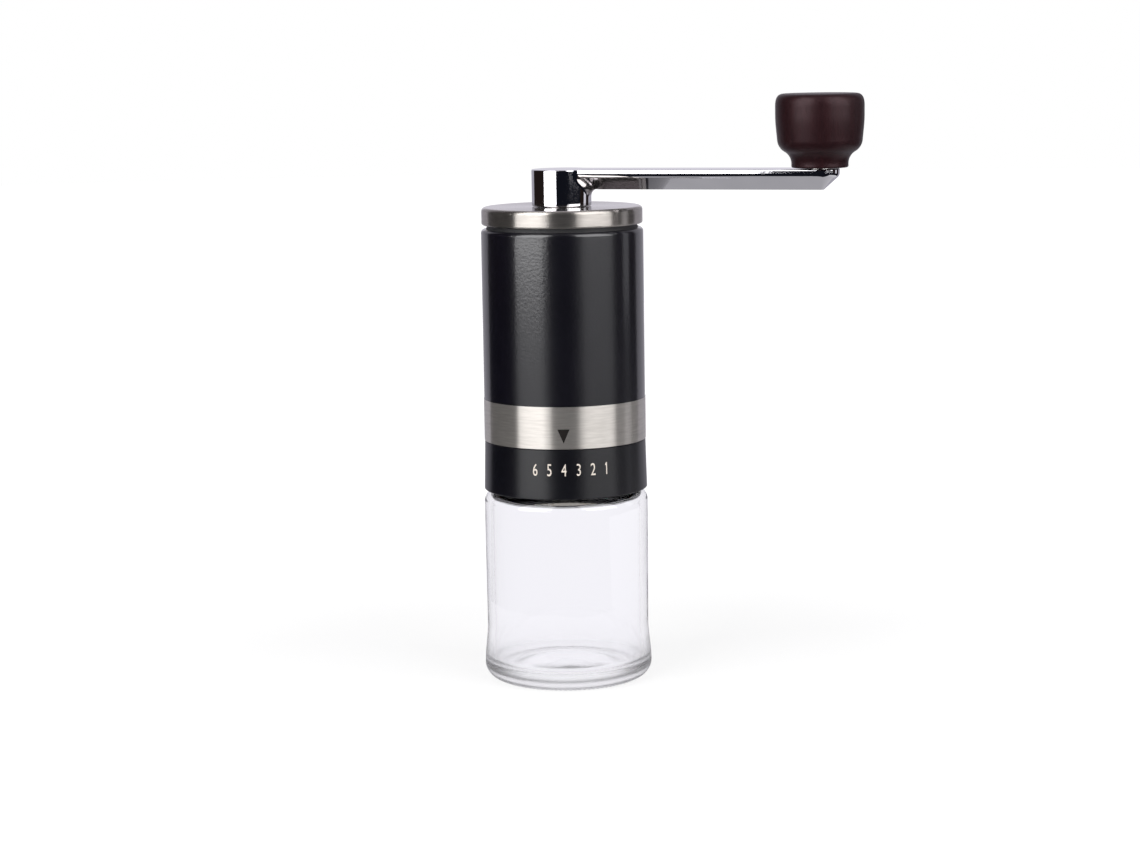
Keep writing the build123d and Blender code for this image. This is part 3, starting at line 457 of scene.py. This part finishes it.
def jar_section():
    """The jar's wall from the middle of its foot, round the outside, to the middle of its floor."""
    section = [(0.0, foot_recess)]
    section += stretch(section[-1], (foot_inner_radius - foot_recess_slope, foot_recess), 4)
    section += [(foot_inner_radius - foot_recess_slope / 2, foot_recess * 0.6)]
    section += [(foot_inner_radius, ridge_depth)]
    section += stretch(section[-1], (foot_radius, ridge_depth), 8)
    heel = arc((foot_radius, heel_round), heel_round, -90, 0, 14)
    section += [(r, max(z, ridge_depth)) for r, z in heel[1:]]
    side = [heel_round + (waist_height - heel_round) * step / 12 for step in range(1, 13)]
    section += [(side_radius(height), height) for height in side]
    shoulder_start = shoulder_height - shoulder_round
    section += stretch(section[-1], (jar_radius, shoulder_start), 8)
    section += arc((jar_radius - shoulder_round, shoulder_start), shoulder_round, 0, 90, 14)[1:]
    # the neck grows out of the shoulder in a small round
    section += [(neck_radius + neck_root_round, shoulder_height)]
    section += [(neck_radius + neck_root_round / 4, shoulder_height + neck_root_round / 4)]
    section += [(neck_radius, shoulder_height + neck_root_round)]
    lip_middle = seal_low[2] - lip_round
    section += stretch(section[-1], (neck_radius, lip_middle), 6)
    section += arc((neck_radius - lip_round, lip_middle), lip_round, 0, 90, 5)[1:]
    section += arc((neck_bore + lip_round, lip_middle), lip_round, 90, 180, 5)
    # inside, the wall is even from the bore down to the floor
    ceiling = shoulder_height - jar_wall
    bore_end = ceiling + neck_root_round
    section += stretch(section[-1], (neck_bore, bore_end), 6)
    section += arc((neck_bore + neck_root_round, bore_end), neck_root_round, 180, 270, 5)[1:]
    corner_round = shoulder_round - jar_wall
    corner_radius = jar_radius - jar_wall - corner_round
    section += arc((corner_radius, ceiling - corner_round), corner_round, 90, 0, 8)
    section += stretch(section[-1], (jar_waist_radius - jar_wall, waist_height), 8)
    floor_start = jar_floor + jar_floor_round
    inner_side = [height for height in side[-2::-1] if height > floor_start]
    section += [(side_radius(height) - jar_wall, height) for height in inner_side]
    floor_round_centre = side_radius(floor_start) - jar_wall - jar_floor_round
    section += arc((floor_round_centre, floor_start), jar_floor_round, 0, -88, 14)
    section += stretch(section[-1], (0.0, jar_floor + jar_floor_crown), 8)
    return section


def jar_point(radius, height, azimuth):
    """A point of the jar, with ridges that hang from its foot ring down to the table."""
    if radius < ridge_end_radius and height < ridge_depth * 1.01:
        swell = min(1.0, max(0.0, (radius - ridge_start_radius) / ridge_swell_run))
        skew = tau * (radius - foot_inner_radius) / ridge_skew_run
        wave = 0.5 + 0.5 * cos(azimuth * ridge_count + skew)
        height -= ridge_depth * min(1.0, ridge_flat * wave) * swell
    return on_cylinder(radius, azimuth, max(height, 0.0))


def turned_jar():
    """The section turned round the axis, closed at both ends by a single point."""
    vertices, faces = [], []
    rings = []
    for radius, height in jar_section():
        count = 1 if radius < 1e-9 else jar_segments
        rings.append((len(vertices), count))
        for step in range(count):
            vertices.append(jar_point(radius, height, tau * step / jar_segments))
    for (start, count), (after, next_count) in zip(rings, rings[1:]):
        for step in range(jar_segments):
            ahead = (step + 1) % jar_segments
            if count == 1:
                faces.append((start, after + step, after + ahead))
            elif next_count == 1:
                faces.append((start + ahead, start + step, after))
            else:
                faces.append((start + ahead, start + step, after + step, after + ahead))
    piece = new_piece("pressed_jar", vertices, faces, glass, "jar")
    piece.data.shade_smooth()
    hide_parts("glass_jar")


turned_jar()


# The crank is a merged copy of its solid whose arm reaches lower.
hub_radius = 9.0 * MM
arm_blend = 4.0 * MM  # beyond the hub, before the arm reaches its full depth
arm_stretch = 0.15
hub_foot = 3.0 * MM  # above the lid, below which nothing is drawn down


def deeper_crank():
    """The crank with its arm's side and bevel drawn down from the flat top, blending in at the hub.

    It keeps the solid's own shading, so that its flat and round faces mirror as they should.
    """
    hub_top, lid_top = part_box("crank_arm")[1][2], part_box("lid_cap")[1][2]
    solid = nodes["crank_arm"].data
    shading = [tuple(corner.vector) for corner in solid.corner_normals]
    casting = bmesh.new()
    casting.from_mesh(solid)
    bmesh.ops.remove_doubles(casting, verts=casting.verts, dist=merge_distance / 5)
    for vertex in casting.verts:
        away = vertex.co.xy.length
        if vertex.co.z > lid_top + hub_foot and away > hub_radius:
            share = min(1.0, (away - hub_radius) / arm_blend)
            vertex.co.z -= (hub_top - vertex.co.z) * arm_stretch * share
    mesh = bpy.data.meshes.new("crank_casting")
    casting.to_mesh(mesh)
    casting.free()
    mesh.shade_smooth()
    mesh.normals_split_custom_set(shading)
    mesh.materials.append(finish_of_slot["chrome_plate"])
    piece = bpy.data.objects.new("crank_casting", mesh)
    scene.collection.objects.link(piece)
    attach(piece, "crank")
    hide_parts("crank_arm")


deeper_crank()


# ---------------------------------------------------------------- printed marks
dial_low, dial_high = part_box("adjusting_dial")
band_low, band_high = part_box("steel_band")
dial_foot_radius = dial_high[0]
dial_head_radius = dial_foot_radius - 0.35 * MM
pointer_azimuth = radians(-1.2)
setting_step = radians(10.25)
number_at_rest = 4
number_height = 3.6 * MM
number_width_scale = 0.66
number_top = 4.3 * MM  # from the dial's upper edge
ink = 0.03 * MM


def dial_surface(height):
    """The dial's radius at a height: it widens a little towards its foot."""
    share = (height - dial_low[2]) / (dial_high[2] - dial_low[2])
    return dial_foot_radius + (dial_head_radius - dial_foot_radius) * share


def text_outline(word):
    """A word in the built-in sans face as a flat plate, one unit thick."""
    curve = bpy.data.curves.new("word", "FONT")
    curve.body = word
    curve.align_x = "CENTER"
    curve.extrude = 0.5
    curve.resolution_u = 6
    holder = bpy.data.objects.new("word", curve)
    scene.collection.objects.link(holder)
    bpy.context.view_layer.update()
    evaluated = holder.evaluated_get(bpy.context.evaluated_depsgraph_get())
    mesh = bpy.data.meshes.new_from_object(evaluated)
    bpy.data.objects.remove(holder)
    bpy.data.curves.remove(curve)
    return mesh


def figure_one():
    """The figure 1 as a flat plate: an upright stroke with a short flag, in shares of its height."""
    outline = [(-0.06, 0.0), (0.07, 0.0), (0.07, 1.0), (-0.02, 1.0)]
    outline += [(-0.19, 0.84), (-0.19, 0.72), (-0.06, 0.82)]
    count = len(outline)
    mesh = bpy.data.meshes.new("figure_one")
    faces = [tuple(range(count)), tuple(range(2 * count - 1, count - 1, -1))]
    faces += [(i, (i + 1) % count, count + (i + 1) % count, count + i) for i in range(count)]
    mesh.from_pydata([(x, y, z) for z in (0.5, -0.5) for x, y in outline], [], faces)
    return mesh


def dial_numbers():
    """The settings 1 to 6, printed round the dial so that the one in use stands under the pointer."""
    vertices, faces = [], []
    for number in range(1, 7):
        mesh = figure_one() if number == 1 else text_outline(str(number))
        lowest = min(v.co.y for v in mesh.vertices)
        tallest = max(v.co.y for v in mesh.vertices) - lowest
        scale = number_height / tallest
        azimuth = pointer_azimuth + (number_at_rest - number) * setting_step
        start = len(vertices)
        for vertex in mesh.vertices:
            height = dial_high[2] - number_top - number_height + (vertex.co.y - lowest) * scale
            radius = dial_surface(height) + 2 * ink * vertex.co.z
            turn = vertex.co.x * scale * number_width_scale / radius
            vertices.append(on_cylinder(radius, azimuth + turn, height))
        faces += [tuple(start + i for i in polygon.vertices) for polygon in mesh.polygons]
        bpy.data.meshes.remove(mesh)
    new_piece("dial_numbers", vertices, faces, silver_ink(), "dial")


dial_numbers()


def band_pointer():
    """The black triangle on the steel band that points down at the setting in use."""
    width, height, tip_rise = 3.6 * MM, 4.15 * MM, 1.8 * MM
    tip = band_low[2] + tip_rise
    tip_share = 0.02  # of the width, so that the tip is a short edge and not a point
    rows, columns = 8, 8
    vertices, faces = [], []
    for radius in (band_high[0] - ink, band_high[0] + ink):
        for row in range(rows + 1):
            share = max(row / rows, tip_share)
            for column in range(columns + 1):
                turn = (column / columns - 0.5) * share * width / band_high[0]
                vertices.append(on_cylinder(radius, pointer_azimuth + turn, tip + height * row / rows))
    line = columns + 1
    layer = line * (rows + 1)
    for row in range(rows):
        for column in range(columns):
            first = row * line + column
            faces.append((first, first + 1, first + line + 1, first + line))
            faces.append(tuple(layer + i for i in (first + line, first + line + 1, first + 1, first)))
        for first in (row * line, row * line + columns):
            faces.append((first, first + line, layer + first + line, layer + first))
    for column in range(columns):
        for first in (column, rows * line + column):
            faces.append((first, first + 1, layer + first + 1, layer + first))
    new_piece("band_pointer", vertices, faces, black_ink(), "housing")


band_pointer()


# ---------------------------------------------------------------- neck thread, laid along a helix
def neck_thread():
    """The pressed thread on the jar's neck: one rounded ridge that climbs 4 mm in a turn."""
    tree = bpy.data.node_groups.new("neck_thread", "GeometryNodeTree")
    tree.interface.new_socket("Geometry", in_out="OUTPUT", socket_type="NodeSocketGeometry")
    sizes = {
        "Ridge Radius": neck_radius,
        "Ridge Depth": 0.75 * MM,
        "Ridge Height": 1.1 * MM,
        "Lead": 4.0 * MM,
        "Turns": 1.4,
        "Start Height": shoulder_height + 1.8 * MM,
    }
    sockets = {
        name: tree.interface.new_socket(name, in_out="INPUT", socket_type="NodeSocketFloat")
        for name in sizes
    }
    given = add(tree, "NodeGroupInput").outputs
    rise = add(tree, "ShaderNodeMath", {0: given["Lead"], 1: given["Turns"]}, operation="MULTIPLY")
    helix = add(
        tree,
        "GeometryNodeCurveSpiral",
        {
            "Resolution": 96,
            "Rotations": given["Turns"],
            "Start Radius": given["Ridge Radius"],
            "End Radius": given["Ridge Radius"],
            "Height": rise.outputs[0],
        },
    )
    lift = add(tree, "ShaderNodeCombineXYZ", {2: given["Start Height"]}).outputs[0]
    to_neck = {"Geometry": helix.outputs[0], "Translation": lift}
    raised = add(tree, "GeometryNodeTransform", to_neck).outputs[0]
    # the ridge swells out of the neck over the first and last stretch of the helix
    along = add(tree, "GeometryNodeSplineParameter").outputs["Factor"]
    from_middle = add(tree, "ShaderNodeMath", {0: along, 1: 0.5}, operation="SUBTRACT").outputs[0]
    distance = add(tree, "ShaderNodeMath", {0: from_middle}, operation="ABSOLUTE").outputs[0]
    swelling = {"Value": distance, 1: 0.5, 2: 0.44, 3: 0.15, 4: 1.0}
    swell = add(tree, "ShaderNodeMapRange", swelling).outputs[0]
    sized = add(tree, "GeometryNodeSetCurveRadius", {"Curve": raised, "Radius": swell}).outputs[0]
    # the section is a circle, flattened to half the ridge's height and its whole depth
    circle = add(tree, "GeometryNodeCurvePrimitiveCircle", {"Resolution": 14, "Radius": 1.0}).outputs[0]
    sides = {0: given["Ridge Height"], 1: given["Ridge Depth"], 2: 1.0}
    whole = {0: add(tree, "ShaderNodeCombineXYZ", sides).outputs[0], 1: (0.5, 1.0, 1.0)}
    half = add(tree, "ShaderNodeVectorMath", whole, operation="MULTIPLY").outputs[0]
    profile = add(tree, "GeometryNodeTransform", {"Geometry": circle, "Scale": half}).outputs[0]
    along_helix = {"Curve": sized, "Profile Curve": profile, "Fill Caps": True}
    ridge = add(tree, "GeometryNodeCurveToMesh", along_helix).outputs[0]
    real = add(tree, "GeometryNodeRealizeInstances", {"Geometry": ridge}).outputs[0]
    finished = {"Geometry": real, "Material": glass}
    add(tree, "NodeGroupOutput", {0: add(tree, "GeometryNodeSetMaterial", finished).outputs[0]})

    holder = bpy.data.objects.new("neck_thread", bpy.data.meshes.new("neck_thread"))
    modifier = holder.modifiers.new("neck_thread", "NODES")
    modifier.node_group = tree
    for name, value in sizes.items():
        modifier[sockets[name].identifier] = value
    scene.collection.objects.link(holder)
    bpy.context.view_layer.update()
    evaluated = holder.evaluated_get(bpy.context.evaluated_depsgraph_get())
    mesh = bpy.data.meshes.new_from_object(evaluated)
    holder.modifiers.clear()
    holder.data = mesh
    dress(holder, glass, "jar").data.shade_smooth()


neck_thread()


# ---------------------------------------------------------------- floor, studio light and camera
pale_lavender = "#faf9fd"  # the backdrop as metal and glass see it


def stage_mesh(name, vertices, faces, material):
    """A mesh of the studio, which isn't part of the grinder."""
    mesh = bpy.data.meshes.new(name)
    mesh.from_pydata(vertices, [], faces)
    mesh.materials.append(material)
    piece = bpy.data.objects.new(name, mesh)
    scene.collection.objects.link(piece)
    return piece


def disc(name, radius, height, steps, material):
    """A level disc about the grinder's axis."""
    rim = [on_cylinder(radius, tau * step / steps, height) for step in range(steps)]
    return stage_mesh(name, rim, [tuple(range(steps))], material)


def inside_glass(tree):
    """1 on a ray that has gone through glass, else 0."""
    depth = add(tree, "ShaderNodeLightPath").outputs["Transmission Depth"]
    return add(tree, "ShaderNodeMath", {0: depth, 1: 0.5}, operation="GREATER_THAN").outputs[0]


def pale_floor():
    """White acrylic table: white where it is seen, with the grinder's soft shadow on it. In metal it
    is darker near the grinder: a painted shade that stands in for the grinder's shadow there."""
    material, tree = bare_material("white_acrylic_table")
    place = add(tree, "ShaderNodeTexCoord").outputs["Object"]
    tone = blend_colours(tree, grain(tree, place, 40 * MM), "#f4f4f4", "#f7f7f7")
    plain = add(tree, "ShaderNodeBsdfDiffuse", {"Color": tone}).outputs[0]
    shaded = add(tree, "ShaderNodeBsdfDiffuse", {"Color": linear("#848484")}).outputs[0]
    # the table glows more away from the grinder, where the softboxes no longer reach it; as metal
    # sees it, the glow is dimmer near the grinder, a painted shade in place of its shadow there
    away = add(tree, "ShaderNodeVectorMath", {0: place}, operation="LENGTH").outputs["Value"]
    seen, glossy = [
        add(tree, "ShaderNodeMapRange", {"Value": away, 1: 0.1, 2: 0.5, 3: near, 4: 1.0}).outputs[0]
        for near in (0.775, 0.44)
    ]
    glow = add(tree, "ShaderNodeEmission", {"Strength": seen}).outputs[0]
    lit = add(tree, "ShaderNodeAddShader", {0: shaded, 1: glow}).outputs[0]
    lavender = linear(pale_lavender)
    # in metal the table is a plain glow, with painted shade near the grinder
    in_metal = add(tree, "ShaderNodeEmission", {"Color": lavender, "Strength": glossy}).outputs[0]
    in_glass = add(tree, "ShaderNodeEmission", {"Color": lavender}).outputs[0]
    path = add(tree, "ShaderNodeLightPath").outputs
    surface = plain
    for flag, shader in (
        (path["Is Glossy Ray"], in_metal),
        (inside_glass(tree), in_glass),
        (path["Is Camera Ray"], lit),
    ):
        surface = add(tree, "ShaderNodeMixShader", {0: flag, 1: surface, 2: shader}).outputs[0]
    add(tree, "ShaderNodeOutputMaterial", {"Surface": surface})
    return material


disc("table", 3.0, 0.0, 64, pale_floor())


def card_material(name, colour, strength=1.0):
    """Card that only reflections see, dark or pale; inside the glass it is as pale as the rest."""
    material, tree = bare_material(name)
    tone = blend_colours(tree, inside_glass(tree), colour, pale_lavender)
    glow = add(tree, "ShaderNodeEmission", {"Color": tone, "Strength": strength})
    add(tree, "ShaderNodeOutputMaterial", {"Surface": glow.outputs[0]})
    return material


def only_in_reflections(piece):
    """Hides a card from everything but glossy rays."""
    piece.visible_camera = False
    piece.visible_diffuse = False
    piece.visible_transmission = False
    piece.visible_shadow = False
    piece.visible_volume_scatter = False


card_radius = 1.15
card_foot = 0.0005  # just above the table
card_head = 2.4
table_card_height = 0.001


def curved_card(name, start, end, material, foot=(card_radius, card_foot), head=(card_radius, card_head)):
    """A card from one azimuth to another, in degrees; foot and head are (radius, height) of its edges."""
    steps = max(2, int(abs(end - start) / 4))
    turns = [radians(start + (end - start) * step / steps) for step in range(steps + 1)]
    vertices = [on_cylinder(radius, turn, height) for turn in turns for radius, height in (foot, head)]
    faces = [(2 * i, 2 * i + 2, 2 * i + 3, 2 * i + 1) for i in range(steps)]
    only_in_reflections(stage_mesh(name, vertices, faces, material))


def upright_card(name, start, end, material, low=card_foot, high=card_head):
    """A card that stands, between two heights."""
    curved_card(name, start, end, material, (card_radius, low), (card_radius, high))


def table_card(name, start, end, material, near):
    """A card that lies on the table from a radius outwards."""
    foot, head = (near, table_card_height), (card_radius, table_card_height)
    curved_card(name, start, end, material, foot, head)


# Azimuths of the lamps' edges, which the dark flags between them carry on: they set the upright bars
# of light and dark in the paint, the steel and the chrome.
left_lamp = (-70, -21)
right_lamp = (21.5, 75)
right_lamp_foot = 0.105
left_side, right_side, behind_right, behind_left = -131, 126, 165, 195
warm_flag = card_material("brown_black_cloth", "#221b19")
cool_flag = card_material("blue_black_cloth", "#13151c")
bounce = card_material("pale_bounce_card", "#f2f1f8", 0.8)
upright_card("flag_left", left_side, left_lamp[0], warm_flag)
upright_card("flag_front", left_lamp[1], right_lamp[0], cool_flag)
# low cards that narrow the bars on the body and leave those on the hub, which mirrors from higher up
upright_card("flag_low_left", -28, left_lamp[1], cool_flag, high=0.055)
upright_card("flag_mid_left", -28, left_lamp[1], cool_flag, low=0.1, high=0.28)
upright_card("flag_mid_right", right_lamp[0], 28, cool_flag, high=0.28)
upright_card("flag_under_right", *right_lamp, cool_flag, high=right_lamp_foot)
upright_card("flag_right_near", right_lamp[1], 94, warm_flag)
upright_card("card_right", 94, 106.5, bounce)
upright_card("flag_right_far", 106.5, right_side, warm_flag)
side_wall = card_material("lavender_wall", "#eae7f3", 0.5)
upright_card("wall_right", right_side, behind_right, side_wall)
upright_card("wall_left", -behind_right, left_side, side_wall)
table_card("wall_floor_right", right_side, behind_right, side_wall, near=0.12)
table_card("wall_floor_left", -behind_right, left_side, side_wall, near=0.12)
upright_card("wall_behind", behind_right, behind_left, card_material("pale_wall", "#e9e6f1", 0.85))
table_card("cloth_on_table", left_side, 60, cool_flag, near=0.12)
table_card("cloth_right", 60, right_side, cool_flag, near=0.35)
only_in_reflections(disc("ceiling", 1.3, card_head, 32, card_material("dim_ceiling", "#cfcdd2", 0.55)))


def softbox(name, edges, bottom, radiance):
    """A tall softbox between two azimuths, in degrees, that faces the grinder."""
    distance, top = 1.2, 2.2
    half_spread = radians(edges[1] - edges[0]) / 2
    lamp = bpy.data.lights.new(name, "AREA")
    lamp.shape = "RECTANGLE"
    lamp.size = 2 * distance * sin(half_spread) / cos(half_spread)
    lamp.size_y = top - bottom
    lamp.energy = 4 * lamp.size * lamp.size_y * radiance
    holder = bpy.data.objects.new(name, lamp)
    scene.collection.objects.link(holder)
    place = on_cylinder(distance, radians(edges[0] + edges[1]) / 2, (bottom + top) / 2)
    holder.location = place
    holder.rotation_euler = (Vector((0, 0, place.z)) - place).to_track_quat("-Z", "Y").to_euler()
    holder.visible_camera = False
    holder.visible_transmission = False


softbox("softbox_left", left_lamp, 0.03, 2.8)
softbox("softbox_right", right_lamp, right_lamp_foot, 2.1)


def studio_world():
    """White wherever it is seen, faintly lavender in metal and glass, and a plain level of fill light."""
    world = bpy.data.worlds.new("white_studio")
    scene.world = world
    world.use_nodes = True
    tree = world.node_tree
    tree.nodes.clear()
    path = add(tree, "ShaderNodeLightPath").outputs
    colour = blend_colours(tree, path["Is Camera Ray"], pale_lavender, "#ffffff")
    level = 0.42  # of the fill light
    for flag in ("Is Glossy Ray", "Is Transmission Ray", "Is Camera Ray"):
        level = add(tree, "ShaderNodeMix", {0: path[flag], 2: level, 3: 1.0}).outputs[0]
    back = add(tree, "ShaderNodeBackground", {"Color": colour, "Strength": level})
    add(tree, "ShaderNodeOutputWorld", {"Surface": back.outputs[0]})


studio_world()


def camera():
    """A long lens a little above the grinder, leaning about a degree."""
    place = Vector((0, -0.8143, 0.1955))
    pan, looking_down, leaning = -0.104, 8.3, -0.87  # degrees
    lens = bpy.data.cameras.new("camera")
    lens.lens = 85.3
    lens.sensor_width = 36.0
    lens.clip_start, lens.clip_end = 0.01, 20.0
    holder = bpy.data.objects.new("camera", lens)
    scene.collection.objects.link(holder)
    turn = Matrix.Rotation(radians(pan), 4, "Z")
    tilt = Matrix.Rotation(radians(90 - looking_down), 4, "X")
    lean = Matrix.Rotation(radians(leaning), 4, "Z")
    holder.matrix_world = Matrix.Translation(place) @ turn @ tilt @ lean
    scene.camera = holder


camera()

scene.view_settings.view_transform = "Standard"
